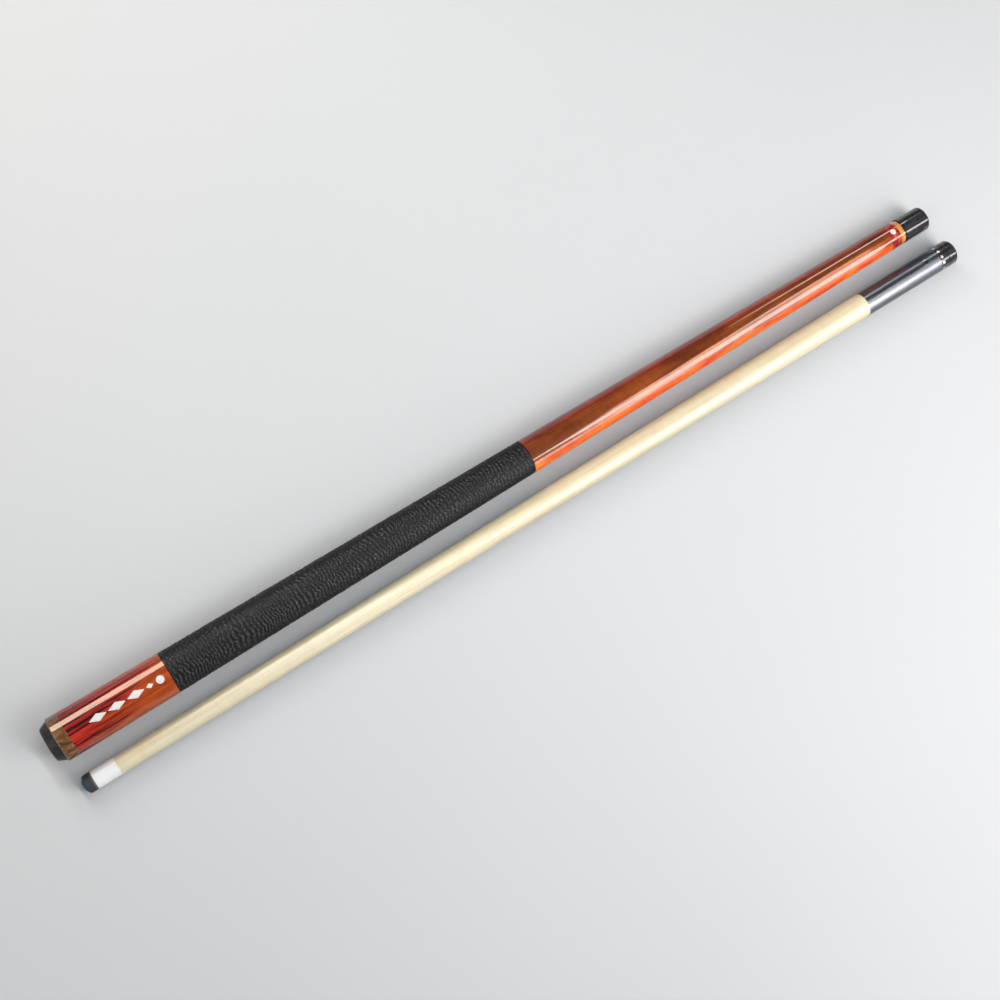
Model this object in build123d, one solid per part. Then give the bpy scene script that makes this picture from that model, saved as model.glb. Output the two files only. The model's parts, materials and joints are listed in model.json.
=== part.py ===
"""Two-piece pool cue, taken apart, with a screw-on protector over each joint end.

The butt and the shaft lie side by side on a table, joint ends towards +X.
Units are millimetres, +Z is up, and the origin is the centre of the footprint on the table.
Each half is drawn along its own X axis and then laid down on its own taper.
"""
from build123d import *
import math
import os

os.makedirs("parts", exist_ok=True)

# ---------------------------------------------------------------- driving sizes
joint_radius = 9.75          # both halves at the joint
glue_gap = 0.02              # between glued pieces, so that their faces never cross
running_gap = 0.06           # between threads and sliding fits, which are drawn plain

# butt, measured along its axis from the rubber bumper's end face
bumper_height = 6.0
cap_length = 8.3
sleeve_length = 72.0
wrap_length = 284.4
forearm_length = 337.1
collar_length = 9.4
ring_length = 3.8
butt_end_radius = 15.5
wrap_front_radius = 12.85
forearm_middle_radius = 11.35

cap_start = bumper_height
sleeve_start = cap_start + cap_length
wrap_start = sleeve_start + sleeve_length
forearm_start = wrap_start + wrap_length
collar_start = forearm_start + forearm_length
ring_start = collar_start + collar_length
butt_face = ring_start + ring_length
forearm_middle = (forearm_start + butt_face) / 2

wrap_thickness = 1.0
tenon_radius = 7.5           # forearm tenon that carries the collar and the ring
core_tenon_radius = 11.0     # handle core inside the butt sleeve
core_tenon_length = 26.0
handle_tenon_radius = 8.0    # forearm inside the handle core
handle_tenon_length = 25.0

# shaft, measured along its axis from the crown of the leather tip
shaft_length = 736.6         # 29 inches to the joint face
tip_radius = 6.5
tip_dome_radius = 9.0
tip_side = 4.0
pad_thickness = 1.35
ferrule_length = 16.8
metal_sleeve_length = 73.2
dash_ring_length = 4.0
metal_sleeve_wall = 1.6
ferrule_wall = 2.4
ferrule_cap = 1.5

tip_dome_height = tip_dome_radius - math.sqrt(tip_dome_radius**2 - tip_radius**2)
pad_start = tip_dome_height + tip_side
ferrule_start = pad_start + pad_thickness
wood_start = ferrule_start + ferrule_length
dash_ring_start = shaft_length - dash_ring_length
metal_sleeve_start = dash_ring_start - metal_sleeve_length
spigot_radius = joint_radius - metal_sleeve_wall - 0.4

# joint thread, 5/16-18, and the two protectors
pitch = 25.4 / 18
butt_protector_turns = 12    # that take it off the joint pin
shaft_protector_turns = 11   # that take its pin out of the shaft
pin_radius = 3.97
pin_reach = butt_protector_turns * pitch
pin_buried = 34.0
butt_protector_neck = 1.9
butt_protector_length = 24.9
protector_insert_radius = 6.0
protector_insert_length = 14.0
shaft_protector_length = 12.7
protector_pin_reach = shaft_protector_turns * pitch - 0.5
shaft_insert_length = 25.0
shaft_insert_radius = 5.6

# weight bolt, 1/2-13, behind the bumper
weight_bolt_radius = 6.35
weight_bolt_length = 38.0
weight_liner_radius = 8.0
weight_liner_start = 24.0
weight_liner_length = 60.0
bumper_stem_length = 16.0

# how the halves lie
halves_apart = 34.5          # between the two axes at the butt's end
shaft_lag = 4.25             # tip crown ahead of the bumper's end face
shaft_yaw = 0.085            # degrees, shaft axis leaning towards the butt at the joint


# ---------------------------------------------------------------- helpers
def interpolated(x, stations):
    """Radius at x on a row of straight tapers through the stations (x, radius)."""
    for (x0, r0), (x1, r1) in zip(stations, stations[1:]):
        if x <= x1:
            return r0 + (r1 - r0) * (x - x0) / (x1 - x0)
    return stations[-1][1]


butt_stations = [
    (cap_start, butt_end_radius),
    (forearm_start, wrap_front_radius),
    (forearm_middle, forearm_middle_radius),
    (butt_face, joint_radius),
]
shaft_stations = [
    (tip_dome_height, tip_radius),
    (wood_start, tip_radius),
    (shaft_length, joint_radius),
]


def skin(start, end, stations, inset=0.0):
    """Points (x, radius) of the tapered surface from start to end, set in by inset."""
    inside = [x for x, _ in stations if start < x < end]
    return [(x, interpolated(x, stations) - inset) for x in [start, *inside, end]]


def turned(points, rounded=()):
    """A solid turned about X from a closed outline of (x, radius) points.

    rounded lists (point, radius) for the outline's corners that are not sharp.
    """
    face = make_face(Polyline(*points, close=True))
    for (x, r), size in rounded:
        corner = face.vertices().sort_by_distance((x, r, 0))[0]
        face = fillet(corner, size)
    return revolve(face, axis=Axis.X)


def ring(start, end, outer, inner):
    """A plain tube along X."""
    return turned([(start, inner), (end, inner), (end, outer), (start, outer)])


def rod(start, end, radius, bevel=0.0):
    """A plain rod along X with bevelled ends."""
    return turned(
        [
            (start, 0),
            (start, radius - bevel),
            (start + bevel, radius),
            (end - bevel, radius),
            (end, radius - bevel),
            (end, 0),
        ]
        if bevel
        else [(start, 0), (start, radius), (end, radius), (end, 0)]
    )


def tapered_tube(start, end, stations, inner):
    """A tube whose outside follows the half's taper."""
    return turned([(start, inner), *skin(start, end, stations), (end, inner)])


def on_side(shape, x, degrees):
    """A flat face drawn at the origin, stood up as a prism through the side at x.

    degrees is measured from the top towards +Y.
    """
    prism = extrude(shape, amount=2 * butt_end_radius)
    return Location((x, 0, 0)) * Rotation(-degrees, 0, 0) * prism


# ---------------------------------------------------------------- butt
def rubber_bumper():
    base = butt_end_radius - 1.1
    end = base - 2.9
    stem = weight_bolt_radius - 0.15
    rib = weight_bolt_radius + 0.03
    vent = 1.6
    back = cap_start + bumper_stem_length
    points = [(0, vent), (0, end), (cap_start, base), (cap_start, stem)]
    for start in (cap_start + 4.0, cap_start + 9.0):
        points += [(start, stem), (start + 0.6, rib), (start + 1.8, rib), (start + 2.4, stem)]
    points += [(back, stem), (back, vent)]
    return turned(points, [((0, end), 1.8), ((back, stem), 1.0)])


def butt_cap():
    tenon = core_tenon_radius - 1.5 + glue_gap
    wall = 2.0
    bore = weight_bolt_radius + 0.03 + running_gap
    points = [
        (cap_start, bore),
        (cap_start, butt_end_radius),
        (sleeve_start, interpolated(sleeve_start, butt_stations)),
        (sleeve_start, tenon),
        (cap_start + wall, tenon),
        (cap_start + wall, bore),
    ]
    return turned(points, [((cap_start, butt_end_radius), 0.8)])


def butt_sleeve():
    tenon = core_tenon_radius - 1.5
    wall = 2.0 + glue_gap
    bore = weight_bolt_radius + 0.03 + running_gap
    liner = weight_liner_radius + glue_gap
    core_bore = core_tenon_radius + glue_gap
    tenon_end = wrap_start - core_tenon_length - glue_gap
    points = [
        (cap_start + wall, bore),
        (cap_start + wall, tenon),
        (sleeve_start, tenon),
        *skin(sleeve_start, wrap_start, butt_stations),
        (wrap_start, core_bore),
        (tenon_end, core_bore),
        (tenon_end, liner),
        (weight_liner_start - glue_gap, liner),
        (weight_liner_start - glue_gap, bore),
    ]
    return turned(points) - inlay_pockets(sleeve_inlay_shapes())


inlay_depth = 0.8
inlay_side = 2.0             # degrees from the top towards the shaft


def sleeve_inlay_shapes():
    """Three long diamonds, a small one and a disc, in a row along the sleeve."""
    shapes = []
    for x, long, wide in ((35.0, 12.5, 5.4), (48.5, 12.5, 5.4), (62.0, 12.5, 5.4), (72.0, 5.0, 3.4)):
        half_long = long / 2
        half_wide = wide / 2
        corners = [(half_long, 0), (0, half_wide), (-half_long, 0), (0, -half_wide)]
        shapes.append((make_face(Polyline(*corners, close=True)), x))
    shapes.append((make_face(Edge.make_circle(2.7)), 79.5))
    return shapes


def inlay_pockets(shapes):
    """The inlays' solids, flush with the sleeve and inlay_depth deep."""
    start = sleeve_start + 5
    end = wrap_start - 2
    shell = turned(
        [*skin(start, end, butt_stations), *reversed(skin(start, end, butt_stations, inlay_depth))]
    )
    prisms = [on_side(face, x, -inlay_side) for face, x in shapes]
    return [shell & prism for prism in prisms]


def sleeve_inlays():
    return Compound(children=[solid(part) for part in inlay_pockets(sleeve_inlay_shapes())])


def solid(part):
    """The one solid of a part."""
    return part.solids()[0]


def weight_bolt_liner():
    end = weight_liner_start + weight_liner_length
    return ring(weight_liner_start, end, weight_liner_radius, weight_bolt_radius + running_gap)


bolt_front = weight_liner_start + weight_liner_length - 2.0
bolt_back = bolt_front - weight_bolt_length
lock_groove_start = bolt_front - 12.0
lock_groove_width = 4.0
lock_groove_radius = 4.9


def weight_bolt():
    bevel = 1.0
    groove_end = lock_groove_start + lock_groove_width
    outer = weight_bolt_radius
    points = [
        (bolt_back, 0),
        (bolt_back, outer - bevel),
        (bolt_back + bevel, outer),
        (lock_groove_start, outer),
        (lock_groove_start, lock_groove_radius),
        (groove_end, lock_groove_radius),
        (groove_end, outer),
        (bolt_front - bevel, outer),
        (bolt_front, outer - bevel),
        (bolt_front, 0),
    ]
    socket_radius = 7.94 / math.sqrt(3)
    socket_depth = 8.0
    socket = extrude(Plane.YZ * RegularPolygon(socket_radius, 6), amount=socket_depth)
    return turned(points) - Location((bolt_back, 0, 0)) * socket


def weight_bolt_lock_ring():
    slack = 0.1
    start = lock_groove_start + slack
    end = lock_groove_start + lock_groove_width - slack
    return ring(start, end, weight_bolt_radius + 0.02, lock_groove_radius + running_gap)


def handle_core():
    liner = weight_liner_radius + glue_gap
    liner_end = weight_liner_start + weight_liner_length + glue_gap
    tenon_start = wrap_start - core_tenon_length
    socket = handle_tenon_radius + glue_gap
    socket_start = forearm_start - handle_tenon_length - glue_gap
    stud = a_joint_stud_radius + glue_gap
    stud_start = a_joint_stud_start - glue_gap
    points = [
        (liner_end, 0),
        (liner_end, liner),
        (tenon_start, liner),
        (tenon_start, core_tenon_radius),
        (wrap_start, core_tenon_radius),
        *skin(wrap_start, forearm_start, butt_stations, wrap_thickness),
        (forearm_start, socket),
        (socket_start, socket),
        (socket_start, stud),
        (stud_start, stud),
        (stud_start, 0),
    ]
    return turned(points)


def leather_wrap():
    outside = skin(wrap_start, forearm_start, butt_stations)
    inside = skin(wrap_start, forearm_start, butt_stations, wrap_thickness - glue_gap)
    return turned([*outside, *reversed(inside)])


a_joint_stud_radius = 4.76
a_joint_stud_start = forearm_start - 50.0
a_joint_stud_length = 95.0


def a_joint_stud():
    return rod(a_joint_stud_start, a_joint_stud_start + a_joint_stud_length, a_joint_stud_radius, 0.8)


def forearm():
    stud = a_joint_stud_radius + glue_gap
    stud_end = a_joint_stud_start + a_joint_stud_length + glue_gap
    pin = pin_radius + glue_gap
    pin_start = butt_face - pin_buried - glue_gap
    tenon_start = forearm_start - handle_tenon_length
    points = [
        (tenon_start, stud),
        (tenon_start, handle_tenon_radius),
        (forearm_start, handle_tenon_radius),
        *skin(forearm_start, collar_start, butt_stations),
        (collar_start, tenon_radius),
        (butt_face, tenon_radius),
        (butt_face, pin),
        (pin_start, pin),
        (pin_start, 0),
        (stud_end, 0),
        (stud_end, stud),
    ]
    return turned(points)


collar_dot_radius = 2.2
collar_dot_x = collar_start + collar_length / 2
collar_dot_side = 14.0       # degrees from the top, away from the shaft


def collar_dot_prism():
    return on_side(make_face(Edge.make_circle(collar_dot_radius)), collar_dot_x, collar_dot_side)


def collar_skin():
    start = collar_start + 1
    end = ring_start - 1
    outside = skin(start, end, butt_stations)
    inside = skin(start, end, butt_stations, inlay_depth)
    return turned([*outside, *reversed(inside)])


def joint_collar():
    tube = tapered_tube(collar_start, ring_start, butt_stations, tenon_radius + glue_gap)
    return tube - (collar_skin() & collar_dot_prism())


def collar_dot():
    return collar_skin() & collar_dot_prism()


def joint_ring():
    return tapered_tube(ring_start, butt_face, butt_stations, tenon_radius + glue_gap)


def joint_pin():
    return rod(butt_face - pin_buried, butt_face + pin_reach, pin_radius, 1.0)


insert_start = butt_face + 1.5


def butt_protector_insert():
    end = insert_start + protector_insert_length
    return ring(insert_start, end, protector_insert_radius, pin_radius + running_gap)


def butt_protector_shell():
    neck = joint_radius - 0.6
    neck_end = butt_face + butt_protector_neck
    end = butt_face + butt_protector_length
    mouth = pin_radius + 0.6
    bore = protector_insert_radius + running_gap
    insert_end = insert_start + protector_insert_length + running_gap
    cavity = mouth
    cavity_end = butt_face + pin_reach + 3.0
    points = [
        (butt_face, bore),
        (butt_face, neck),
        (neck_end, neck),
        (neck_end, joint_radius),
        (end, joint_radius),
        (end, 0),
        (cavity_end, 0),
        (cavity_end, cavity),
        (insert_end, cavity),
        (insert_end, bore),
    ]
    return turned(points, [((end, joint_radius), 1.4)])


# ---------------------------------------------------------------- shaft
def leather_tip():
    crown = tip_dome_radius
    middle = math.asin(tip_radius / tip_dome_radius) / 2
    on_dome = (crown - crown * math.cos(middle), crown * math.sin(middle))
    dome = ThreePointArc((0, 0), on_dome, (tip_dome_height, tip_radius))
    rest = Polyline((tip_dome_height, tip_radius), (pad_start, tip_radius), (pad_start, 0), (0, 0))
    return revolve(make_face([dome, *rest.edges()]), axis=Axis.X)


def tip_pad():
    return rod(pad_start, ferrule_start, tip_radius)


def ferrule():
    inner = tip_radius - ferrule_wall
    floor = ferrule_start + ferrule_cap
    points = [
        (ferrule_start, 0),
        (ferrule_start, tip_radius),
        (wood_start, tip_radius),
        (wood_start, inner),
        (floor, inner),
        (floor, 0),
    ]
    return turned(points)


def maple_shaft():
    tenon = tip_radius - ferrule_wall - glue_gap
    tenon_start = ferrule_start + ferrule_cap + glue_gap
    insert = shaft_insert_radius + glue_gap
    insert_from = shaft_length - shaft_insert_length - glue_gap
    points = [
        (tenon_start, 0),
        (tenon_start, tenon),
        (wood_start, tenon),
        *skin(wood_start, metal_sleeve_start, shaft_stations),
        (metal_sleeve_start, spigot_radius),
        (shaft_length, spigot_radius),
        (shaft_length, insert),
        (insert_from, insert),
        (insert_from, 0),
    ]
    return turned(points)


sleeve_dot_radius = 2.1
sleeve_dot_x = dash_ring_start - 12.0
sleeve_dot_side = 20.0       # degrees from the top towards the butt


def sleeve_dot():
    start = sleeve_dot_x - 4
    end = sleeve_dot_x + 4
    outside = skin(start, end, shaft_stations)
    inside = skin(start, end, shaft_stations, inlay_depth)
    shell = turned([*outside, *reversed(inside)])
    return shell & on_side(make_face(Edge.make_circle(sleeve_dot_radius)), sleeve_dot_x, sleeve_dot_side)


def shaft_sleeve():
    tube = tapered_tube(metal_sleeve_start, dash_ring_start, shaft_stations, spigot_radius + glue_gap)
    return tube - sleeve_dot()


dash_count = 12
dash_width = 2.2             # round the ring
dash_length = 2.0            # along the axis


def dashes():
    """Metal blocks let into the ring, evenly round it."""
    start = dash_ring_start + (dash_ring_length - dash_length) / 2
    outside = skin(start, start + dash_length, shaft_stations)
    inside = skin(start, start + dash_length, shaft_stations, inlay_depth)
    band = turned([*outside, *reversed(inside)])
    blocks = []
    for k in range(dash_count):
        face = make_face(Polyline(
            (-dash_length, -dash_width / 2),
            (dash_length, -dash_width / 2),
            (dash_length, dash_width / 2),
            (-dash_length, dash_width / 2),
            close=True,
        ))
        blocks.append(band & on_side(face, start + dash_length / 2, 360 * k / dash_count))
    return blocks


def dash_ring():
    blank = tapered_tube(dash_ring_start, shaft_length, shaft_stations, spigot_radius + glue_gap)
    return blank - dashes()


def ring_dashes():
    return Compound(children=[solid(block) for block in dashes()])


def shaft_insert():
    start = shaft_length - shaft_insert_length
    return ring(start, shaft_length, shaft_insert_radius, pin_radius + running_gap)


pin_in_shell = 8.0


def shaft_protector_pin():
    return rod(shaft_length - protector_pin_reach, shaft_length + pin_in_shell, pin_radius, 0.9)


def shaft_protector_shell():
    flange = 3.4
    groove_width = 0.8
    groove_depth = 0.5
    end = shaft_length + shaft_protector_length
    bore = pin_radius + running_gap
    bore_end = shaft_length + pin_in_shell + running_gap
    groove_start = shaft_length + flange
    points = [
        (shaft_length, bore),
        (shaft_length, joint_radius),
        (groove_start, joint_radius),
        (groove_start, joint_radius - groove_depth),
        (groove_start + groove_width, joint_radius - groove_depth),
        (groove_start + groove_width, joint_radius),
        (end, joint_radius),
        (end, 0),
        (bore_end, 0),
        (bore_end, bore),
    ]
    return turned(points, [((end, joint_radius), 2.2)])


# ---------------------------------------------------------------- how the halves lie
def taper_angle(stations, first, last):
    """Half angle in degrees of the taper between two stations."""
    (x0, r0), (x1, r1) = stations[first], stations[last]
    return math.degrees(math.atan((r1 - r0) / (x1 - x0)))


def laid_down(stations, first, last, start, yaw):
    """Location that lays a half on the taper between two stations, local x = 0 at start."""
    pitch_angle = taper_angle(stations, first, last)
    (x0, r0), (x1, r1) = stations[first], stations[last]
    radius_at_start = r0 - (r1 - r0) / (x1 - x0) * x0
    height = radius_at_start * math.cos(math.radians(pitch_angle))
    x, y = start
    return Location((x, y, height)) * Rotation(0, 0, yaw) * Rotation(0, -pitch_angle, 0)


butt_at = laid_down(butt_stations, 0, 1, (0, 0), 0)
shaft_at = laid_down(shaft_stations, 1, 2, (shaft_lag, -halves_apart), shaft_yaw)

butt_nodes = {
    "rubber_bumper": rubber_bumper,
    "butt_cap": butt_cap,
    "butt_sleeve": butt_sleeve,
    "sleeve_inlays": sleeve_inlays,
    "weight_bolt_liner": weight_bolt_liner,
    "weight_bolt": weight_bolt,
    "weight_bolt_lock_ring": weight_bolt_lock_ring,
    "handle_core": handle_core,
    "leather_wrap": leather_wrap,
    "a_joint_stud": a_joint_stud,
    "forearm": forearm,
    "joint_collar": joint_collar,
    "collar_dot": collar_dot,
    "joint_ring": joint_ring,
    "joint_pin": joint_pin,
    "butt_protector_insert": butt_protector_insert,
    "butt_protector_shell": butt_protector_shell,
}
shaft_nodes = {
    "leather_tip": leather_tip,
    "tip_pad": tip_pad,
    "ferrule": ferrule,
    "maple_shaft": maple_shaft,
    "shaft_sleeve": shaft_sleeve,
    "sleeve_dot": sleeve_dot,
    "dash_ring": dash_ring,
    "ring_dashes": ring_dashes,
    "shaft_insert": shaft_insert,
    "shaft_protector_pin": shaft_protector_pin,
    "shaft_protector_shell": shaft_protector_shell,
}

placed = {name: butt_at * make() for name, make in butt_nodes.items()}
placed |= {name: shaft_at * make() for name, make in shaft_nodes.items()}

everything = Compound(children=[s for shape in placed.values() for s in shape.solids()])
box = everything.bounding_box()
to_origin = Location((-(box.min.X + box.max.X) / 2, -(box.min.Y + box.max.Y) / 2, -box.min.Z))

for name, shape in placed.items():
    solids = [to_origin * s for s in shape.solids()]
    export_step(solids[0] if len(solids) == 1 else Compound(children=solids), f"parts/{name}.step")
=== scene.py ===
"""Looks of a two-piece pool cue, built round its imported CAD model.

Everything is in metres and in the frame of the CAD. Each half of the cue has its own axes: x along
the half from its joint face, negative towards the rubber bumper or the tip, and angles round it from
the top towards +Y. Materials work in millimetres in those axes.
"""
import json
import math

import bpy
import numpy as np
from mathutils import Matrix, Vector

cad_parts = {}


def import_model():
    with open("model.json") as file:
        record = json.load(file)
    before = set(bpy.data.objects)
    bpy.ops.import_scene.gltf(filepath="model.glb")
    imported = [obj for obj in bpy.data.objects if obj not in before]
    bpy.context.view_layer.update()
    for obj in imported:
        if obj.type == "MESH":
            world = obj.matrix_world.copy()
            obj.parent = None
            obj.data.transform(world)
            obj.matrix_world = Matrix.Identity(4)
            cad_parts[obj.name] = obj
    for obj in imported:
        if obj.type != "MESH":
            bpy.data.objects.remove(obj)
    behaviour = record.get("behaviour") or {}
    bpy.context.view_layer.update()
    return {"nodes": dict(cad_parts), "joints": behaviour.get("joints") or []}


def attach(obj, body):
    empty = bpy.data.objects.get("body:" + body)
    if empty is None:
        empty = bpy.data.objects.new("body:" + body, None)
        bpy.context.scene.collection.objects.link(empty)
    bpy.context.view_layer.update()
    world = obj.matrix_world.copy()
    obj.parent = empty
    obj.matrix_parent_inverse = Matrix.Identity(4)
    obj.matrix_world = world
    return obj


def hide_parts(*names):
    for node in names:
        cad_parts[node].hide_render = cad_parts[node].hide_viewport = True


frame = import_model()
nodes = frame["nodes"]
joints = {j["name"]: j for j in frame["joints"]}
MM = 0.001


# ---------------------------------------------------------------- the two halves' axes
class Half:
    """One half of the cue: its axes and the middle of its joint face."""

    def __init__(self, travel, turn):
        self.axis = Vector(joints[travel]["axis"]).normalized()
        self.face = Vector(joints[turn]["pos_m"])
        self.side = Vector((0, 0, 1)).cross(self.axis).normalized()
        self.up = self.axis.cross(self.side)
        self.turn = Matrix((self.axis, self.side, self.up)).transposed()

    def measure(self, name):
        """Distance along the half from its joint face, and radius, of every point of a CAD node."""
        points = np.array([v.co for v in nodes[name].data.vertices])
        local = (points - np.array(self.face)) @ np.array(self.turn)
        return local[:, 0], np.hypot(local[:, 1], local[:, 2])

    def ends(self, name):
        """Where a CAD node starts and ends along the half."""
        along, _ = self.measure(name)
        return float(along.min()), float(along.max())

    def place(self, along, radius, angle):
        """Points in the shared frame, from arrays of places along, out from and round the half."""
        local = np.stack([along, radius * np.sin(angle), radius * np.cos(angle)], axis=-1)
        return local.reshape(-1, 3) @ np.array(self.turn).T + np.array(self.face)


butt = Half("butt_protector_travel", "butt_protector_turn")
shaft = Half("shaft_protector_travel", "shaft_protector_turn")


# ---------------------------------------------------------------- materials
class Material:
    """A Principled material, with its nodes added one call at a time."""

    def __init__(self, name, **sockets):
        self.data = bpy.data.materials.new(name)
        self.data.use_nodes = True
        self.tree = self.data.node_tree
        self.shader = self.tree.nodes["Principled BSDF"]
        self.put(self.shader, {key.replace("_", " "): value for key, value in sockets.items()})

    def put(self, node, values):
        for key, value in values.items():
            if isinstance(value, bpy.types.NodeSocket):
                self.tree.links.new(value, node.inputs[key])
            else:
                node.inputs[key].default_value = value

    def add(self, kind, values=None, **settings):
        node = self.tree.nodes.new(kind)
        for key, value in settings.items():
            setattr(node, key, value)
        self.put(node, values or {})
        return node

    def along(self, half):
        """Position in the half's own axes, in millimetres."""
        place = self.add("ShaderNodeTexCoord").outputs["Object"]
        node = self.add("ShaderNodeMapping", {"Vector": place}, vector_type="TEXTURE")
        node.inputs["Location"].default_value = half.face
        node.inputs["Rotation"].default_value = half.turn.to_euler()
        node.inputs["Scale"].default_value = (MM, MM, MM)
        return node.outputs["Vector"]

    def sized(self, vector, lengths):
        """Stretches a position so that one unit is that many millimetres each way."""
        scale = [1 / length for length in lengths]
        return self.add("ShaderNodeMapping", {"Vector": vector, "Scale": scale}).outputs["Vector"]

    def noise(self, vector, lengths, detail=2.0, roughness=0.5, distortion=0.0):
        """Noise whose features are about that many millimetres long each way."""
        values = {
            "Vector": self.sized(vector, lengths),
            "Scale": 1.0,
            "Detail": detail,
            "Roughness": roughness,
            "Distortion": distortion,
        }
        return self.add("ShaderNodeTexNoise", values).outputs["Fac"]

    def cells(self, vector, lengths, feature):
        """Voronoi cells that are about that many millimetres each way."""
        values = {"Vector": self.sized(vector, lengths), "Scale": 1.0}
        return self.add("ShaderNodeTexVoronoi", values, feature=feature).outputs["Distance"]

    def ramp(self, factor, *stops):
        """A colour, or a grey for a plain number, from stops (place, colour)."""
        node = self.add("ShaderNodeValToRGB", {"Fac": factor})
        elements = node.color_ramp.elements
        while len(elements) < len(stops):
            elements.new(1.0)
        for element, (place, colour) in zip(elements, stops):
            element.position = place
            grey = isinstance(colour, (int, float))
            element.color = (colour, colour, colour, 1) if grey else (*colour, 1)
        return node.outputs["Color"]

    def mix(self, factor, first, second, how="MIX"):
        """Blends two colours; each is a socket or three numbers."""
        node = self.add("ShaderNodeMix", data_type="RGBA", blend_type=how)
        for index, value in ((0, factor), (6, first), (7, second)):
            if isinstance(value, bpy.types.NodeSocket):
                self.tree.links.new(value, node.inputs[index])
            elif index:
                node.inputs[index].default_value = (*value, 1)
            else:
                node.inputs[index].default_value = value
        return node.outputs[2]

    def tint(self, colour, grey):
        """Multiplies a colour by a grey."""
        return self.mix(1.0, colour, grey, "MULTIPLY")

    def math(self, how, first, second=0.0):
        node = self.add("ShaderNodeMath", operation=how)
        for socket, value in zip(node.inputs, (first, second)):
            if isinstance(value, bpy.types.NodeSocket):
                self.tree.links.new(value, socket)
            else:
                socket.default_value = value
        return node.outputs[0]

    def spread(self, value, low, high, start=0.0, end=1.0):
        """Maps low..high to start..end and clamps it."""
        values = {
            "Value": value,
            "From Min": low,
            "From Max": high,
            "To Min": start,
            "To Max": end,
        }
        return self.add("ShaderNodeMapRange", values).outputs["Result"]

    def split(self, vector):
        return self.add("ShaderNodeSeparateXYZ", {"Vector": vector}).outputs

    def angle(self, vector):
        """Angle round the half in turns, 0 at the top, positive towards +Y."""
        place = self.split(vector)
        turn = self.math("ARCTAN2", place["Y"], place["Z"])
        return self.math("DIVIDE", turn, 2 * math.pi)

    def bump(self, height, millimetres, strength):
        values = {"Height": height, "Distance": millimetres * MM, "Strength": strength}
        return self.add("ShaderNodeBump", values).outputs["Normal"]

    def finish(self, **sockets):
        """Links or sets sockets of the shader and returns the material."""
        self.put(self.shader, {key.replace("_", " "): value for key, value in sockets.items()})
        return self.data


def scuffs(m, place, low, high):
    """Roughness from low to high in soft smears with a few fine scratches."""
    smear = m.noise(place, (22, 6, 6), detail=3)
    scratch = m.noise(place, (9, 0.16, 0.16), detail=1)
    fine = m.spread(scratch, 0.66, 0.74)
    both = m.math("MAXIMUM", m.spread(smear, 0.35, 0.75), m.math("MULTIPLY", fine, 0.7))
    return m.spread(both, 0.0, 1.0, low, high)


def lacquered(name):
    return Material(name, Coat_Weight=1.0, Coat_Roughness=0.045, Coat_IOR=1.5, Specular_IOR_Level=0.05)


def pores(m, place, length, width, least):
    """Short dark pores along the grain: near 0 in a pore and 1 elsewhere."""
    dots = m.noise(place, (length, width, width), detail=1, roughness=0.4)
    return m.ramp(dots, (least, 1.0), (least + 0.05, 0.35))


def forearm_wood():
    """Orange figured wood under a clear coat, with painted shade round it: tan and then browner towards the
    top, and redder on its far side; the orange side is the one that faces the light.
    """
    m = lacquered("forearm_wood")
    place = m.along(butt)
    patch = m.noise(place, (34, 9, 9), detail=2, distortion=0.6)
    orange = m.ramp(
        patch,
        (0.36, (0.415, 0.026, 0.0019)),
        (0.5, (0.575, 0.077, 0.0024)),
        (0.64, (0.635, 0.142, 0.0039)),
    )
    # painted shade: the brown and red ramps are shaded copies of the orange wood, for its top and its far
    # side, which get less light
    top_shade_brown = m.ramp(patch, (0.35, (0.087, 0.017, 0.0029)), (0.65, (0.147, 0.033, 0.0053)))
    red = m.ramp(patch, (0.35, (0.1, 0.0072, 0.001)), (0.65, (0.201, 0.018, 0.0019)))
    waver = m.noise(place, (60, 12, 12), detail=1)
    angle = m.math("ADD", m.angle(place), m.spread(waver, 0.2, 0.8, -0.02, 0.02))
    start, end = (value / MM for value in butt.ends("forearm"))
    # painted shade: the brown top reaches further round near the wrap than at the joint, following where
    # the light falls
    edge = m.spread(m.split(place)["X"], start, end, -0.05, 0.015)
    top_shade = m.spread(m.math("SUBTRACT", angle, edge), -0.012, 0.008)
    # painted light and shade: tan between the lit orange side and the brown top, under the band of light
    half_shade_tan = m.ramp(patch, (0.35, (0.187, 0.035, 0.0048)), (0.65, (0.307, 0.074, 0.0097)))
    orange = m.mix(m.spread(angle, -0.105, -0.08), orange, half_shade_tan)
    # painted shade: red on the far (+Y) side, away from the light, fading out towards the bottom
    far_side_shade = m.math("MULTIPLY", m.spread(angle, 0.1, 0.112), m.spread(angle, 0.46, 0.34))
    colour = m.mix(far_side_shade, m.mix(top_shade, orange, top_shade_brown), red)
    streak = m.noise(place, (70, 0.9, 0.9), detail=3, roughness=0.6)
    curl = m.noise(place, (4.5, 14, 14), detail=1)
    colour = m.tint(colour, m.ramp(streak, (0.3, 0.62), (0.55, 1.0), (0.75, 1.0)))
    colour = m.tint(colour, m.ramp(curl, (0.35, 0.86), (0.65, 1.0)))
    colour = m.tint(colour, pores(m, place, 3.2, 0.22, 0.66))
    return m.finish(Base_Color=colour, Roughness=m.spread(streak, 0.3, 0.7, 0.32, 0.48))


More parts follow.
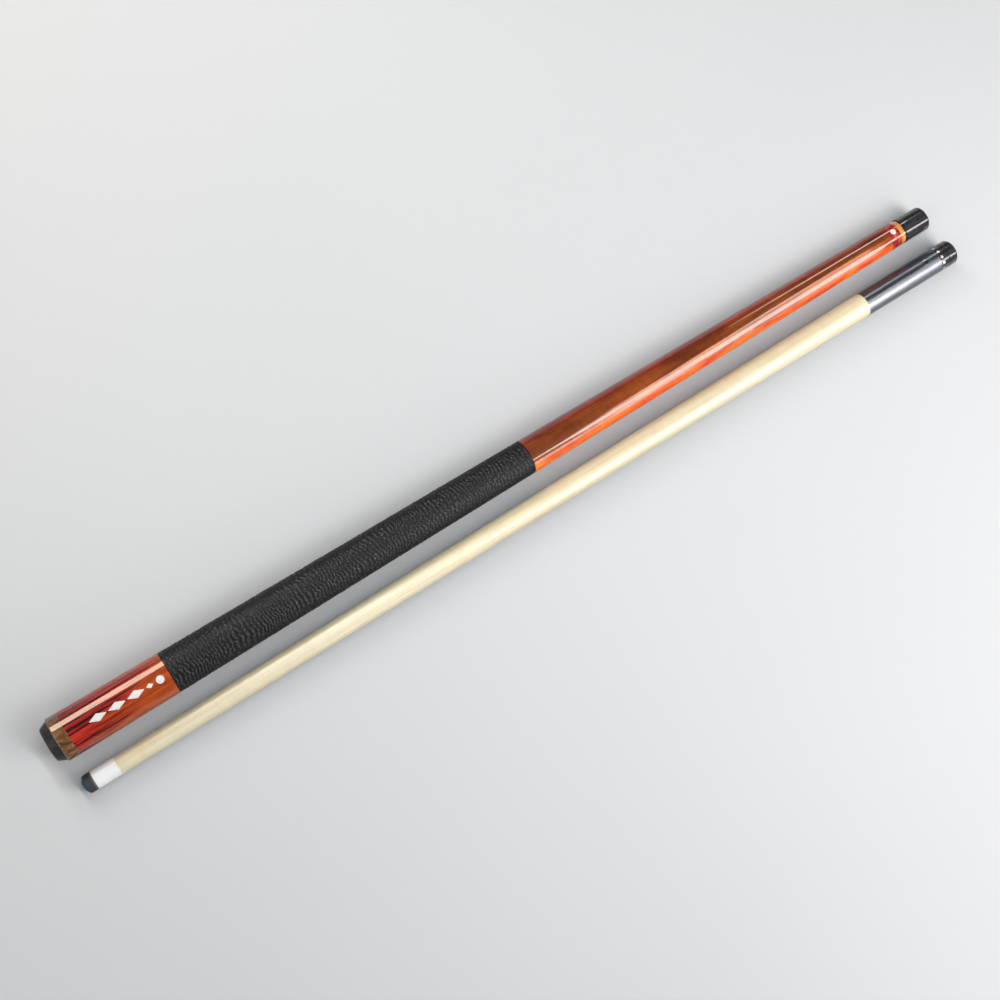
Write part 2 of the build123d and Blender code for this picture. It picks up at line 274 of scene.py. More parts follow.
def sleeve_wood():
    """Red wood with near-black grain lines at its rear, running to orange towards the wrap, with painted
    light and shade round it: more orange on the -Y side, which faces the light, and redder towards +Y.
    """
    m = lacquered("sleeve_wood")
    place = m.along(butt)
    start, end = (value / MM for value in butt.ends("butt_sleeve"))
    forward = m.spread(m.split(place)["X"], start, end)
    waver = m.noise(place, (30, 5, 5), detail=2)
    lean = m.math("ADD", forward, m.spread(waver, 0.2, 0.8, -0.3, 0.3))
    # painted light and shade: the wood turns orange towards the lit -Y side and red towards +Y; the dark
    # grain lines below follow the same mask
    side = m.spread(m.angle(place), -0.2, 0.1, 0.35, -0.25)
    orange = m.spread(m.math("ADD", lean, side), 0.35, 0.85)
    patch = m.noise(place, (26, 4, 4), detail=3, distortion=0.4)
    red = m.ramp(
        patch,
        (0.3, (0.096, 0.0036, 0.0025)),
        (0.5, (0.216, 0.01, 0.0059)),
        (0.7, (0.3, 0.023, 0.0096)),
    )
    amber = m.ramp(
        patch,
        (0.3, (0.144, 0.016, 0.0025)),
        (0.5, (0.27, 0.043, 0.005)),
        (0.7, (0.336, 0.072, 0.0084)),
    )
    colour = m.mix(orange, red, amber)
    lines = m.noise(place, (48, 1.5, 1.5), detail=2, distortion=0.3)
    dark = m.ramp(lines, (0.52, 1.0), (0.6, 0.18), (0.66, 0.1), (0.72, 0.7))
    colour = m.tint(colour, m.mix(orange, dark, (0.9, 0.86, 0.8)))
    streak = m.noise(place, (50, 0.5, 0.5), detail=2)
    colour = m.tint(colour, m.ramp(streak, (0.32, 0.66), (0.55, 1.0)))
    colour = m.tint(colour, pores(m, place, 2.6, 0.2, 0.65))
    return m.finish(Base_Color=colour, Roughness=m.spread(streak, 0.3, 0.7, 0.32, 0.48))


def core_wood():
    """Plain unlacquered hardwood inside the handle."""
    m = Material("core_wood")
    place = m.along(butt)
    grain = m.noise(place, (60, 1.4, 1.4), detail=3)
    colour = m.ramp(grain, (0.3, (0.3, 0.17, 0.08)), (0.6, (0.52, 0.34, 0.18)))
    return m.finish(Base_Color=m.tint(colour, pores(m, place, 3, 0.3, 0.66)), Roughness=0.6)


def maple():
    """Pale maple, oiled smooth, with faint growth lines, fine flecks and a little chalk near the tip."""
    m = Material("maple", Coat_Weight=0.6, Coat_Roughness=0.3)
    place = m.along(shaft)
    broad = m.noise(place, (110, 5, 5), detail=2, distortion=0.3)
    colour = m.ramp(
        broad,
        (0.3, (0.367, 0.307, 0.188)),
        (0.5, (0.389, 0.344, 0.229)),
        (0.68, (0.403, 0.367, 0.261)),
    )
    lines = m.noise(place, (90, 0.7, 0.7), detail=3, roughness=0.6)
    colour = m.tint(colour, m.ramp(lines, (0.34, 0.9), (0.52, 1.0)))
    fleck = m.noise(place, (1.6, 0.16, 0.16), detail=1)
    colour = m.tint(colour, m.ramp(fleck, (0.64, 1.0), (0.72, 0.8)))
    figure = m.noise(place, (7, 16, 16), detail=2)
    colour = m.tint(colour, m.ramp(figure, (0.35, 0.95), (0.65, 1.0)))
    tip_end = shaft.ends("maple_shaft")[0] / MM
    chalk = m.spread(m.split(place)["X"], tip_end + 20, tip_end + 110, 0.22, 0.0)
    smudge = m.math("MULTIPLY", chalk, m.spread(m.noise(place, (9, 4, 4), detail=3), 0.45, 0.7))
    colour = m.mix(smudge, colour, (0.25, 0.3, 0.34))
    return m.finish(Base_Color=colour, Roughness=m.spread(lines, 0.3, 0.7, 0.34, 0.46))


def cap_resin():
    """Brown butt cap of horn-like resin with paler clouds."""
    m = lacquered("cap_resin")
    place = m.along(butt)
    cloud = m.noise(place, (9, 6, 6), detail=3, distortion=1.2)
    colour = m.ramp(
        cloud,
        (0.34, (0.043, 0.018, 0.0077)),
        (0.5, (0.086, 0.039, 0.016)),
        (0.68, (0.137, 0.073, 0.032)),
    )
    vein = m.cells(place, (5, 3, 3), "DISTANCE_TO_EDGE")
    colour = m.tint(colour, m.ramp(vein, (0.0, 0.72), (0.12, 1.0)))
    return m.finish(Base_Color=colour, Roughness=scuffs(m, place, 0.22, 0.42))


def collar_resin():
    """Dark red marbled resin with lighter pearl clouds."""
    m = lacquered("collar_resin")
    place = m.along(butt)
    swirl = m.noise(place, (5, 3.4, 3.4), detail=4, distortion=2.0)
    colour = m.ramp(
        swirl,
        (0.3, (0.034, 0.0028, 0.0028)),
        (0.47, (0.152, 0.0097, 0.0083)),
        (0.6, (0.29, 0.028, 0.021)),
        (0.74, (0.414, 0.11, 0.076)),
    )
    return m.finish(Base_Color=colour, Roughness=scuffs(m, place, 0.2, 0.38))


def amber_resin():
    """Translucent-looking amber ring."""
    m = lacquered("amber_resin")
    place = m.along(butt)
    swirl = m.noise(place, (3, 5, 5), detail=3, distortion=1.5)
    colour = m.ramp(
        swirl,
        (0.3, (0.207, 0.076, 0.014)),
        (0.55, (0.359, 0.159, 0.034)),
        (0.75, (0.469, 0.255, 0.083)),
    )
    return m.finish(Base_Color=colour, Roughness=scuffs(m, place, 0.2, 0.36))


def pearl():
    """Mother-of-pearl dot with a faint pink and green play."""
    m = lacquered("pearl")
    place = m.along(butt)
    play = m.noise(place, (1.6, 1.1, 1.1), detail=3, distortion=2.5)
    colour = m.ramp(
        play,
        (0.3, (0.38, 0.29, 0.31)),
        (0.45, (0.538, 0.517, 0.504)),
        (0.6, (0.428, 0.511, 0.469)),
        (0.75, (0.621, 0.593, 0.552)),
    )
    return m.finish(Base_Color=colour, Roughness=0.25, Metallic=0.25)


def metal(name, half, colour, low, high, lines):
    """Turned or drawn metal: lines gives the length and width in mm of its fine marks."""
    m = Material(name, Metallic=1.0)
    place = m.along(half)
    mark = m.noise(place, lines, detail=2)
    tone = m.noise(place, (14, 5, 5), detail=2)
    tinted = m.tint(colour, m.ramp(mark, (0.3, 0.8), (0.6, 1.0)))
    tinted = m.tint(tinted, m.ramp(tone, (0.35, 0.86), (0.65, 1.0)))
    rough = m.math("MAXIMUM", m.spread(mark, 0.35, 0.7, low, high), scuffs(m, place, low, high))
    normal = m.bump(mark, 0.004, 0.5)
    return m.finish(Base_Color=tinted, Roughness=rough, Normal=normal)


def silver_inlay():
    """Silver let into the wood under the same clear coat."""
    m = Material("silver_inlay", Metallic=0.3, Coat_Weight=1.0, Coat_Roughness=0.045)
    place = m.along(butt)
    brushed = m.noise(place, (0.15, 3, 3), detail=2)
    colour = m.ramp(brushed, (0.3, (0.444, 0.425, 0.419)), (0.65, (0.554, 0.542, 0.535)))
    return m.finish(Base_Color=colour, Roughness=m.spread(brushed, 0.3, 0.7, 0.22, 0.38))


def black_inlay():
    """Black resin ring and dot on the shaft."""
    m = lacquered("black_inlay")
    place = m.along(shaft)
    speck = m.noise(place, (0.8, 0.6, 0.6), detail=2)
    colour = m.ramp(speck, (0.35, (0.008, 0.008, 0.009)), (0.7, (0.022, 0.022, 0.025)))
    return m.finish(Base_Color=colour, Roughness=scuffs(m, place, 0.2, 0.36))


def protector_black(half, name):
    """Polished black plastic with handling marks."""
    m = Material(name, Coat_Weight=1.0, Coat_Roughness=0.05, Specular_IOR_Level=0.1)
    place = m.along(half)
    tone = m.noise(place, (6, 4, 4), detail=3)
    colour = m.ramp(tone, (0.35, (0.007, 0.007, 0.009)), (0.7, (0.018, 0.018, 0.022)))
    turning = m.noise(place, (0.12, 20, 20), detail=1)
    return m.finish(
        Base_Color=colour,
        Roughness=scuffs(m, place, 0.16, 0.34),
        Normal=m.bump(turning, 0.0015, 0.3),
    )


def bumper_rubber():
    """Moulded rubber, matt, with fine pitting and a dusty face."""
    m = Material("bumper_rubber", Specular_IOR_Level=0.15)
    place = m.along(butt)
    rear = butt.ends("rubber_bumper")[0] / MM
    pit = m.noise(place, (0.35, 0.35, 0.35), detail=3)
    dust = m.noise(place, (2.5, 2.5, 2.5), detail=4)
    worn = m.spread(m.split(place)["X"], rear + 1.6, rear, 0.1, 0.7)
    dusty = m.math("MULTIPLY", worn, m.spread(dust, 0.4, 0.7))
    colour = m.ramp(pit, (0.3, (0.008, 0.008, 0.009)), (0.7, (0.02, 0.02, 0.022)))
    colour = m.mix(dusty, colour, (0.085, 0.082, 0.08))
    return m.finish(
        Base_Color=colour,
        Roughness=m.spread(dust, 0.3, 0.7, 0.28, 0.45),
        Normal=m.bump(pit, 0.03, 0.4),
    )


def tip_leather():
    """Pressed leather tip: dark layered side, scuffed crown with traces of blue chalk."""
    m = Material("tip_leather", Specular_IOR_Level=0.3)
    place = m.along(shaft)
    crown = shaft.ends("leather_tip")[0] / MM
    along = m.split(place)["X"]
    layer = m.noise(place, (0.42, 9, 9), detail=2)
    nap = m.noise(place, (0.3, 0.3, 0.3), detail=4, roughness=0.65)
    colour = m.ramp(
        layer,
        (0.38, (0.0054, 0.0058, 0.0078)),
        (0.52, (0.016, 0.017, 0.02)),
        (0.62, (0.0072, 0.0078, 0.0096)),
    )
    colour = m.mix(m.spread(nap, 0.45, 0.75, 0.0, 0.5), colour, (0.05, 0.048, 0.052))
    chalked = m.spread(along, crown + 3.2, crown + 1.2)
    chalked = m.math("MULTIPLY", chalked, m.spread(m.noise(place, (0.7, 0.7, 0.7), detail=4), 0.42, 0.64))
    colour = m.mix(m.math("MULTIPLY", chalked, 0.75), colour, (0.045, 0.15, 0.27))
    return m.finish(
        Base_Color=colour,
        Roughness=m.spread(nap, 0.3, 0.7, 0.42, 0.8),
        Normal=m.bump(nap, 0.05, 0.6),
    )


def fibre_pad():
    """Vulcanised fibre pad, dark, in thin layers."""
    m = Material("fibre_pad")
    place = m.along(shaft)
    layer = m.noise(place, (0.25, 6, 6), detail=2)
    colour = m.ramp(layer, (0.35, (0.012, 0.012, 0.016)), (0.65, (0.05, 0.045, 0.05)))
    return m.finish(Base_Color=colour, Roughness=m.spread(layer, 0.3, 0.7, 0.4, 0.6))


def ferrule_white():
    """Polished white ferrule, faintly stained by chalk towards the tip."""
    m = Material("ferrule_white", Coat_Weight=0.5, Coat_Roughness=0.12)
    place = m.along(shaft)
    tip_side = shaft.ends("ferrule")[0] / MM
    stain = m.noise(place, (1.6, 2.4, 2.4), detail=4)
    near_tip = m.spread(m.split(place)["X"], tip_side + 4.0, tip_side, 0.06, 0.4)
    stained = m.math("MULTIPLY", near_tip, m.spread(stain, 0.42, 0.7))
    colour = m.mix(stained, (0.46, 0.465, 0.465), (0.3, 0.34, 0.36))
    crazing = m.cells(place, (3.5, 2, 2), "DISTANCE_TO_EDGE")
    colour = m.tint(colour, m.ramp(crazing, (0.0, 0.93), (0.03, 1.0)))
    return m.finish(Base_Color=colour, Roughness=scuffs(m, place, 0.24, 0.42))


def nylon():
    """Milky nylon of the bolt's lock ring."""
    m = Material("nylon", Subsurface_Weight=0.1)
    place = m.along(butt)
    tone = m.noise(place, (1.5, 1.5, 1.5), detail=3)
    colour = m.ramp(tone, (0.3, (0.38, 0.38, 0.345)), (0.7, (0.511, 0.511, 0.483)))
    return m.finish(Base_Color=colour, Roughness=m.spread(tone, 0.3, 0.7, 0.35, 0.55))


def wrap_leather():
    """Black embossed leather with fine pores between the ridges of its grain, painted greyer on the ridges
    as light catching them and near black in the grooves as shade.
    """
    m = Material("wrap_leather", Specular_IOR_Level=0.17)
    place = m.along(butt)
    relief = m.add("ShaderNodeAttribute", attribute_name="relief").outputs["Fac"]
    tone = m.noise(place, (16, 9, 9), detail=3)
    # painted light and shade: the colour follows the relief, near black in the grooves and greyer on the
    # ridges
    colour = m.ramp(
        relief,
        (0.08, (0.001, 0.001, 0.001)),
        (0.35, (0.003, 0.003, 0.004)),
        (0.75, (0.0125, 0.0135, 0.016)),
    )
    colour = m.tint(colour, m.ramp(tone, (0.3, 0.7), (0.7, 1.0)))
    grain = m.cells(place, (0.7, 0.7, 0.7), "SMOOTH_F1")
    worn = m.math("MULTIPLY", m.spread(relief, 0.1, 0.8), m.spread(tone, 0.35, 0.65, 0.6, 1.0))
    return m.finish(
        Base_Color=colour,
        Roughness=m.spread(worn, 0.0, 1.0, 0.5, 0.17),
        Normal=m.bump(grain, 0.035, 0.5),
    )


def floor_paint():
    """Matt pale floor, very slightly mottled."""
    m = Material("floor_paint", Specular_IOR_Level=0.15)
    place = m.add("ShaderNodeTexCoord").outputs["Object"]
    soft = m.add("ShaderNodeTexNoise", {"Vector": place, "Scale": 2.0, "Detail": 2.0}).outputs["Fac"]
    colour = m.ramp(soft, (0.3, (0.3, 0.31, 0.32)), (0.7, (0.31, 0.32, 0.33)))
    return m.finish(Base_Color=colour, Roughness=0.9)


turned_marks = (0.1, 4, 4)
drawn_marks = (18, 0.12, 0.12)
steel_look = (0.62, 0.62, 0.63), 0.16, 0.34, turned_marks
brass_look = (0.75, 0.52, 0.2), 0.2, 0.4, turned_marks
steel = metal("steel", butt, *steel_look)
shaft_steel = metal("shaft_steel", shaft, *steel_look)
brass = metal("brass", butt, *brass_look)
shaft_brass = metal("shaft_brass", shaft, *brass_look)
black_resin = black_inlay()

cad_materials = {
    "rubber_bumper": bumper_rubber(),
    "butt_cap": cap_resin(),
    "butt_sleeve": sleeve_wood(),
    "sleeve_inlays": silver_inlay(),
    "weight_bolt_liner": brass,
    "weight_bolt_lock_ring": nylon(),
    "handle_core": core_wood(),
    "forearm": forearm_wood(),
    "joint_collar": collar_resin(),
    "collar_dot": pearl(),
    "joint_ring": amber_resin(),
    "butt_protector_insert": brass,
    "butt_protector_shell": protector_black(butt, "protector_black"),
    "tip_pad": fibre_pad(),
    "ferrule": ferrule_white(),
    "maple_shaft": maple(),
    "shaft_sleeve": metal("sleeve_metal", shaft, (0.15, 0.165, 0.19), 0.24, 0.38, drawn_marks),
    "sleeve_dot": black_resin,
    "dash_ring": black_resin,
    "ring_dashes": metal("ring_silver", shaft, (0.55, 0.545, 0.54), 0.2, 0.34, turned_marks),
    "shaft_insert": shaft_brass,
    "shaft_protector_shell": protector_black(shaft, "shaft_protector_black"),
}
for name, finish in cad_materials.items():
    nodes[name].data.materials.clear()
    nodes[name].data.materials.append(finish)


# ---------------------------------------------------------------- shapes
def grid_faces(rows, columns, loop=False):
    """Quads of a grid that is closed round its columns, and over its rows too where loop is set."""
    steps = rows if loop else rows - 1
    row, column = np.meshgrid(np.arange(steps), np.arange(columns), indexing="ij")
    row_after = (row + 1) % rows
    column_after = (column + 1) % columns
    corners = [
        row * columns + column,
        row_after * columns + column,
        row_after * columns + column_after,
        row * columns + column_after,
    ]
    return [tuple(quad) for quad in np.stack(corners, axis=-1).reshape(-1, 4).tolist()]


def turned(half, along, radius, loop=False):
    """Points and faces of a closed solid turned about a half's axis.

    along holds a place for each row and radius a size for each row and column. The rows run from
    the rear end to the front. They meet again where loop is set, as on a tube, and elsewhere each
    end closes in one point on the axis.
    """
    rows, columns = radius.shape
    angle = np.linspace(0, 2 * math.pi, columns, endpoint=False)[None, :]
    where = np.broadcast_to(along[:, None], radius.shape)
    points = half.place(where, radius, angle + np.zeros_like(radius))
    faces = grid_faces(rows, columns, loop)
    if loop:
        return points, faces
    ends = half.place(along[[0, -1]], np.zeros(2), np.zeros(2))
    first, last = rows * columns, rows * columns + 1
    for column in range(columns):
        after = (column + 1) % columns
        faces.append((first, column, after))
        faces.append((last, last - 1 - columns + after, last - 1 - columns + column))
    return np.vstack([points, ends]), faces


def new_piece(shape, stands_for, material, body, sharp_degrees=50):
    """A piece that takes a CAD node's place, with its own mesh."""
    points, faces = shape
    name = f"{stands_for}_detailed"
    mesh = bpy.data.meshes.new(name)
    mesh.from_pydata(points.tolist(), [], faces)
    mesh.materials.append(material)
    mesh.shade_smooth()
    mesh.set_sharp_from_angle(angle=math.radians(sharp_degrees))
    piece = bpy.data.objects.new(name, mesh)
    bpy.context.scene.collection.objects.link(piece)
    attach(piece, body)
    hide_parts(stands_for)
    return piece


def smooth(value, low, high):
    """0 below low, 1 above high, and an even curve between them."""
    t = np.clip((value - low) / (high - low), 0, 1)
    return t * t * (3 - 2 * t)


# leather wrap: rows of short ridges pressed across the grip
ridge_pitch = 2.7 * MM
ridge_length = 2.3 * MM
ridges_per_wave = 5
wave_depth = 2.2 * MM
wrap_relief = 0.4 * MM
ridge_half_width = 0.3
ridge_half_length = 0.46
ridge_flatness = 3.5
wrap_border = 1.3 * MM
wrap_wall = 0.95 * MM
wrap_drift = 4 * MM
plain_height = 0.45
seam_depth = 0.22 * MM
edge_depth = 0.3 * MM
wrap_columns = 192
lining_rows = 24
wrap_step = 0.36 * MM


def soft_waves(along, around, rng):
    """A slow, uneven drift over the wrap, in metres, from a few sines that close round the handle."""
    waves = 7
    total = np.zeros(np.broadcast(along, around).shape)
    for _ in range(waves):
        length = rng.uniform(30, 80) * MM
        turns = rng.integers(-2, 3)
        phase = rng.uniform(0, 2 * math.pi)
        total += np.sin(2 * math.pi * along / length + turns * around + phase)
    return wrap_drift * total / waves


def ridges(along, around, girth, rng):
    """Height from 0 between the ridges to 1 on them, for places along and angles round the wrap."""
    across = ridges_per_wave * round(girth / ridge_length / ridges_per_wave)
    v = around / (2 * math.pi) * across
    zigzag = wave_depth * np.abs((v / ridges_per_wave) % 1.0 - 0.5)
    u = (along + soft_waves(along, around, rng) + zigzag) / ridge_pitch
    v = np.broadcast_to(v, u.shape)
    lines = int(np.ceil(u.max() - u.min())) + 8
    base = int(np.floor(u.min())) - 3
    shift_u, shift_v, lean = (rng.uniform(-most, most, (lines, across)) for most in (0.2, 0.35, 0.6))
    size = rng.uniform(0.55, 1.0, (lines, across))
    height = np.zeros(u.shape)
    for du in (-1, 0, 1, 2):
        line = np.floor(u).astype(int) + du
        row = np.clip(line - base, 0, lines - 1)
        half_step = 0.5 * (line % 2)
        for dv in (-2, -1, 0, 1, 2):
            ridge = np.floor(v - half_step).astype(int) + dv
            column = ridge % across
            from_v = v - ridge - half_step - 0.5 - shift_v[row, column]
            from_u = u - line - shift_u[row, column] + lean[row, column] * from_v
            out = np.abs(from_u / ridge_half_width) ** ridge_flatness
            out += np.abs(from_v / ridge_half_length) ** ridge_flatness
            height = np.maximum(height, size[row, column] * np.exp(-out))
    return height


def leather_wrap():
    """The wrap as one closed sheet: pressed grain, a plain border at each end and a butt seam beneath."""
    rng = np.random.default_rng(7)
    along, radius = butt.measure("leather_wrap")
    start, end = float(along.min()), float(along.max())
    end_zone = 0.5 * MM
    radius_start = radius[along < start + end_zone].max()
    radius_end = radius[along > end - end_zone].max()
    rows = int((end - start) / wrap_step)
    place = np.linspace(start, end, rows)
    angle = np.linspace(0, 2 * math.pi, wrap_columns, endpoint=False)[None, :]
    surface = np.interp(place, [start, end], [radius_start, radius_end])[:, None]
    girth = math.pi * (radius_start + radius_end)
    height = ridges(place[:, None] - start, angle, girth, rng)
    from_end = np.minimum(place - start, end - place)[:, None]
    from_seam = np.abs(angle - math.pi) * surface
    pressed = smooth(from_end, wrap_border * 0.7, wrap_border * 1.3) * smooth(from_seam, 0.3 * MM, 0.9 * MM)
    height = plain_height + (height - plain_height) * pressed
    seam = np.exp(-((from_seam / (0.22 * MM)) ** 2))
    rolled = 1 - smooth(from_end, 0.0, 0.5 * MM)
    depth = wrap_relief * (1 - height) + seam_depth * seam + edge_depth * rolled**2
    outside = surface - depth
    lining_place = np.linspace(end, start, lining_rows)
    lining = np.interp(lining_place, [start, end], [radius_start, radius_end]) - wrap_wall
    shape = turned(
        butt,
        np.concatenate([place, lining_place]),
        np.vstack([outside, np.repeat(lining[:, None], wrap_columns, axis=1)]),
        loop=True,
    )
    piece = new_piece(shape, "leather_wrap", wrap_leather(), "butt", 75)
    relief = piece.data.attributes.new("relief", "FLOAT", "POINT")
    values = np.concatenate([height.ravel(), np.full(lining_rows * wrap_columns, 0.3)])
    relief.data.foreach_set("value", values.astype(np.float32))


# threads: 60 degree flanks, cut right-handed
joint_pitch = 25.4 / 18 * MM
bolt_pitch = 25.4 / 13 * MM
thread_depth = 0.6134
thread_columns = 36
rows_per_turn = 12


def flank(along, pitch):
    """Share of the thread's depth, 0 on the crest and 1 at the root, at each row and column."""
    turn = np.arange(thread_columns) / thread_columns
    phase = (along[:, None] / pitch + turn[None, :]) % 1.0
    from_crest = np.abs(phase - 0.5)
    return np.clip((from_crest - 1 / 16) / (3 / 8 - 1 / 16), 0, 1)


def thread_rows(start, end, pitch):
    return np.linspace(start, end, int((end - start) / pitch * rows_per_turn) + 2)


def threaded(start, end, radius, pitch):
    """Places and radii of an external thread whose ends run out in a short bevel."""
    along = thread_rows(start, end, pitch)
    depth = thread_depth * pitch
    from_end = np.minimum(along - start, end - along)[:, None]
    bevel = np.clip(0.7 * MM - from_end, 0, None)
    return along, np.minimum(radius - depth * flank(along, pitch), radius - bevel)


def rows_of(*values):
    """One row of equal radii for each value."""
    return np.repeat(np.array(values)[:, None], thread_columns, axis=1)


def joint_pin():
    """Steel pin of the joint: threaded where it stands out, plain where it is glued in."""
    start, end = butt.ends("joint_pin")
    radius = butt.measure("joint_pin")[1].max()
    root = radius - 0.7 * joint_pitch
    along, size = threaded(-2.5 * MM, end, radius, joint_pitch)
    plain = [start, start + 0.8 * MM, along[0] - 0.2 * MM, along[0] - 0.1 * MM]
    shape = turned(
        butt,
        np.concatenate([plain, along, [end]]),
        np.vstack([rows_of(root, radius, radius, root), size, rows_of(radius * 0.3)]),
    )
    new_piece(shape, "joint_pin", steel, "butt", 35)


def shaft_protector_pin():
    """Steel pin of the shaft's protector, threaded for the length that enters the shaft."""
    start, end = shaft.ends("shaft_protector_pin")
    radius = shaft.measure("shaft_protector_pin")[1].max()
    root = radius - 0.7 * joint_pitch
    along, size = threaded(start, 0.6 * MM, radius, joint_pitch)
    plain = [along[-1] + 0.1 * MM, along[-1] + 0.2 * MM, end - 0.8 * MM, end]
    shape = turned(
        shaft,
        np.concatenate([[start], along, plain]),
        np.vstack([rows_of(radius * 0.3), size, rows_of(root, radius, radius, root)]),
    )
    new_piece(shape, "shaft_protector_pin", shaft_steel, "shaft_protector_pin", 35)


def insert(half, node, body, material):
    """Brass insert: a plain outside, and a thread cut outwards from its bore."""
    start, end = half.ends(node)
    radii = half.measure(node)[1]
    outer, bore = radii.max(), radii.min()
    along = thread_rows(start + 0.5 * MM, end - 0.5 * MM, joint_pitch)
    groove = bore + 0.32 * joint_pitch * (1 - flank(along, joint_pitch))
    mouth = bore + 0.45 * MM
    places = [start, end, end]
    shape = turned(
        half,
        np.concatenate([places, along[::-1], [start]]),
        np.vstack([rows_of(outer, outer, mouth), groove[::-1], rows_of(mouth)]),
        loop=True,
    )
    new_piece(shape, node, material, body, 35)


def weight_bolt():
    """Weight bolt: threaded rod with a hexagon socket in its rear and a groove for the lock ring."""
    start, end = butt.ends("weight_bolt")
    ring_start, ring_end = butt.ends("weight_bolt_lock_ring")
    radii = butt.measure("weight_bolt")[1]
    radius = radii.max()
    groove = butt.measure("weight_bolt_lock_ring")[1].min() - 0.06 * MM
    across_flats = 7.94 * MM
    socket_depth = 8 * MM
    angle = np.arange(thread_columns) / thread_columns * 2 * math.pi
    sixth = math.pi / 3
    hexagon = across_flats / 2 / np.cos((angle % sixth) - sixth / 2)[None, :]
    rear, rear_size = threaded(start, ring_start - 0.1 * MM, radius, bolt_pitch)
    front, front_size = threaded(ring_end + 0.1 * MM, end, radius, bolt_pitch)
    shape = turned(
        butt,
        np.concatenate([[start + socket_depth, start], rear, [rear[-1], front[0]], front]),
        np.vstack([hexagon, hexagon, rear_size, rows_of(groove, groove), front_size]),
    )
    new_piece(shape, "weight_bolt", steel, "weight_bolt", 35)


def wood_joint_stud():
    """Steel stud that joins the forearm to the handle, with a coarse thread for wood."""
    start, end = butt.ends("a_joint_stud")
    radius = butt.measure("a_joint_stud")[1].max()
    along, size = threaded(start, end, radius, bolt_pitch)
    shape = turned(butt, along, size)
    new_piece(shape, "a_joint_stud", steel, "butt", 35)


def leather_tip():
    """Layered leather tip: rough domed crown, shallow grooves between its layers, a soft upper edge."""
    rng = np.random.default_rng(3)
    columns = 72
    layers = 6
    along, radius = shaft.measure("leather_tip")
    crown, back = float(along.min()), float(along.max())
    outer = float(radius.max())
    dome_start = float(along[radius > outer - 0.01 * MM].min())
    dome = outer**2 / 2 / (dome_start - crown) + (dome_start - crown) / 2
    share = np.linspace(0.06, 1, 16)
    dome_radius = outer * share
    dome_place = crown + dome - np.sqrt(dome**2 - dome_radius**2)
    side_place = np.linspace(dome_start, back, 34)[1:]
    layer = (side_place - dome_start) / (back - dome_start) * layers
    side_radius = outer - 0.02 * MM - 0.07 * MM * np.exp(-(((layer % 1) - 0.5) / 0.12) ** 2)
    place = np.concatenate([dome_place, side_place])
    size = np.repeat(np.concatenate([dome_radius, side_radius])[:, None], columns, axis=1)
    rough = rng.uniform(0, 1, size.shape)
    rough = (rough + np.roll(rough, 1, axis=1) + np.roll(rough, 1, axis=0)) / 3
    edge = np.exp(-(((place - dome_start) / (0.35 * MM)) ** 2))[:, None]
    size = size - 0.05 * MM * rough - 0.12 * MM * edge
    size[-1] = outer - 0.02 * MM
    new_piece(turned(shaft, place, size), "leather_tip", tip_leather(), "shaft", 60)


leather_wrap()
joint_pin()
shaft_protector_pin()
insert(butt, "butt_protector_insert", "butt_protector_insert", brass)
insert(shaft, "shaft_insert", "shaft", shaft_brass)
weight_bolt()
wood_joint_stud()
leather_tip()


# ---------------------------------------------------------------- camera, floor and lights
def camera():
    """Seen from above the cue and a little behind its middle, as a 52 mm lens would."""
    place = Vector((-0.3033, 0.0330, 0.9793))
    heading = Matrix.Rotation(-1.70392, 4, "Z")
    tilt = Matrix.Rotation(0.27015, 4, "X")
    roll = Matrix.Rotation(1.16112, 4, "Z")
    data = bpy.data.cameras.new("camera")
    data.sensor_width = 36.0
    data.lens = 51.65
    data.clip_start = 0.01
    eye = bpy.data.objects.new("camera", data)
    eye.matrix_world = Matrix.Translation(place) @ heading @ tilt @ roll
    bpy.context.scene.collection.objects.link(eye)
    bpy.context.scene.camera = eye


def floor():
    """Wide pale floor that the cue lies on."""
    side = 4.0
    corners = [(-side, -side, 0), (side, -side, 0), (side, side, 0), (-side, side, 0)]
    mesh = bpy.data.meshes.new("floor")
    mesh.from_pydata(corners, [], [(0, 1, 2, 3)])
    mesh.materials.append(floor_paint())
    ground = bpy.data.objects.new("floor", mesh)
    bpy.context.scene.collection.objects.link(ground)


def panel(name, strength, colour, distance, stations):
    """A curved light panel over the cue, that far from its middle, which shows in its lacquer as a band.

    Each station gives a place along the cue and the two slopes of the cue's surface, in degrees from
    the top towards +Y, at which the camera sees the panel's edges there.
    """
    eye = bpy.context.scene.camera.matrix_world.translation
    middle = Vector((0.0, butt.face.y, butt.face.z))
    reach = distance / (eye.z - middle.z)
    steps = 9
    points = []
    for place, first, last in stations:
        along = place + (place - eye.x) * reach
        for slope in np.radians(np.linspace(first, last, steps)):
            out = Vector((0, math.sin(2 * slope), math.cos(2 * slope))) * distance
            points.append((along, middle.y + out.y, middle.z + out.z))
    faces = []
    for row in range(len(stations) - 1):
        for step in range(steps - 1):
            first = row * steps + step
            faces.append((first, first + 1, first + steps + 1, first + steps))
    mesh = bpy.data.meshes.new(name)
    mesh.from_pydata(points, [], faces)
    glow = bpy.data.materials.new(name)
    glow.use_nodes = True
    shader = glow.node_tree.nodes["Principled BSDF"]
    shader.inputs["Base Color"].default_value = (0, 0, 0, 1)
    shader.inputs["Emission Color"].default_value = (*colour, 1)
    shader.inputs["Emission Strength"].default_value = strength
    mesh.materials.append(glow)
    light = bpy.data.objects.new(name, mesh)
    light.visible_camera = False
    bpy.context.scene.collection.objects.link(light)


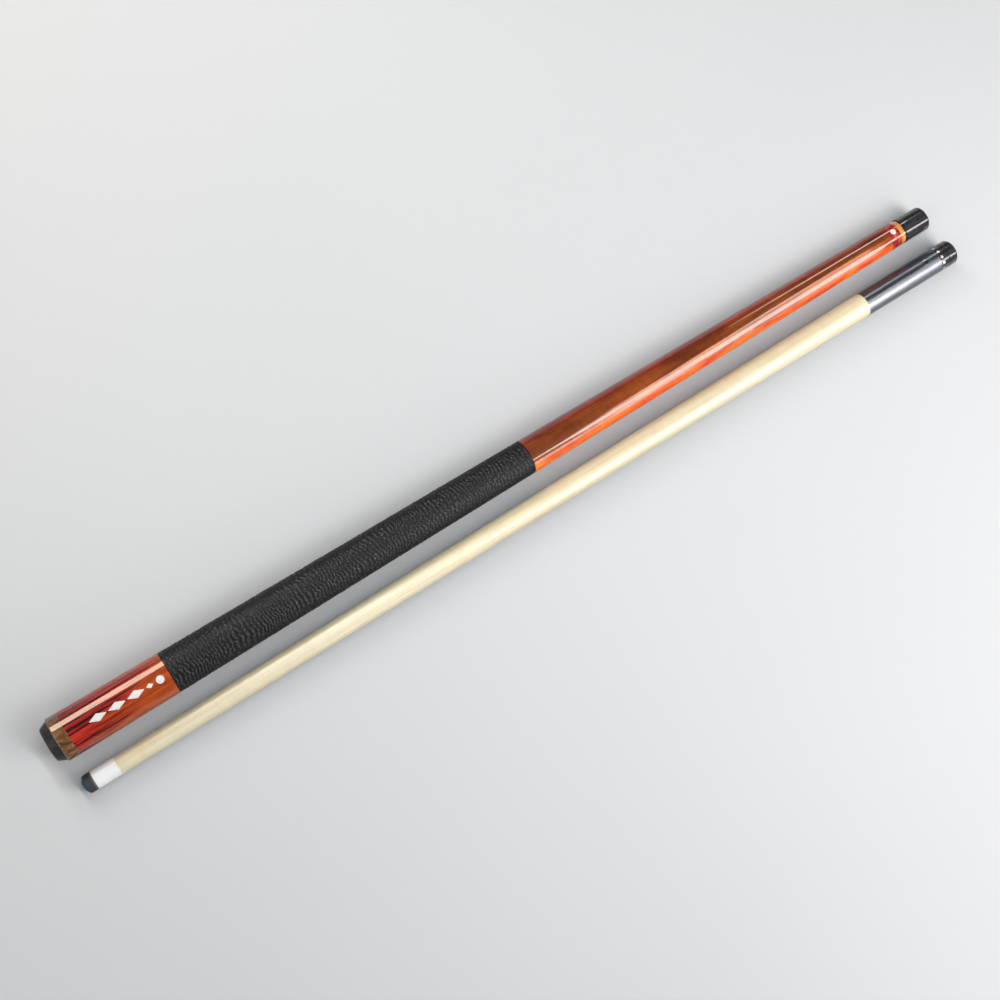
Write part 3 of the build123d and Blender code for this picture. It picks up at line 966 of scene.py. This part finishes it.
def softbox(name, start, end, width, power):
    """A strip of light from start to end, facing the middle of the cue."""
    start, end = Vector(start), Vector(end)
    along = (end - start).normalized()
    middle = (start + end) / 2
    back = (middle - along * middle.dot(along)).normalized()
    data = bpy.data.lights.new(name, "AREA")
    data.shape = "RECTANGLE"
    data.size = (end - start).length
    data.size_y = width
    data.energy = power
    box = bpy.data.objects.new(name, data)
    turn = Matrix((along, back.cross(along), back)).transposed()
    box.matrix_world = Matrix.Translation(middle) @ turn.to_4x4()
    bpy.context.scene.collection.objects.link(box)


def world(strength):
    """A faint, slightly cool light from all round."""
    sky = bpy.data.worlds.new("studio")
    sky.use_nodes = True
    background = sky.node_tree.nodes["Background"]
    background.inputs["Color"].default_value = (0.88, 0.94, 1.0, 1)
    background.inputs["Strength"].default_value = strength
    bpy.context.scene.world = sky


camera()
floor()
white = (1.0, 0.99, 0.97)
warm = (1.0, 0.96, 0.93)
neutral = (0.95, 0.965, 0.97)
pink = (1.0, 0.82, 0.72)
cream = (1.0, 0.8, 0.6)
far = 1.25
near = 1.2
nearest = 1.15
panel("sleeve_panel", 14.5, cream, near, [(-0.385, 37, 24), (-0.27, 35.5, 22.5)])
wrap_band = [(-0.286, 34.5, 27), (-0.24, 35, 27), (-0.16, 17, 8), (-0.08, -6, -15), (-0.01, -18, -27)]
panel("wrap_panel", 36, neutral, far, wrap_band)
wide_band = [(0.05, -14, -36), (0.11, -9, -34), (0.17, -8, -34), (0.23, 1, -35), (0.335, 3, -36)]
panel("wide_panel", 4.8, pink, far, wide_band)
bright_band = [(0.0, -18, -20), (0.07, -17, -26), (0.14, -16, -27), (0.2, -15, -28), (0.335, -13, -29)]
collar_band = [(0.345, -16, -23), (0.39, -16, -23)]
panel("bright_panel", 12.5, white, near, bright_band + collar_band)
panel("edge_panel", 13, warm, nearest, [(0.08, -12, -13), (0.16, -7, -9), (0.24, -1, -4), (0.3, 2, 1)])
panel("low_panel", 10, warm, nearest, [(0.08, -29, -34), (0.12, -28, -32), (0.2, -28, -31)])
panel("line_panel", 13, warm, near, [(0.2, 26, 25), (0.27, 27, 24), (0.36, 28, 23)])
panel("side_panel", 3, warm, near, [(-0.12, -36, -40), (0.0, -36, -41), (0.2, -37, -42), (0.335, -37, -42)])
softbox("rear", (-1.1, -0.6, 0.9), (-1.1, 0.6, 0.9), 0.4, 8)
softbox("side", (-0.15, -1.5, 0.5), (0.9, -1.5, 0.5), 0.6, 14)
world(0.13)
bpy.context.scene.view_settings.view_transform = "Standard"
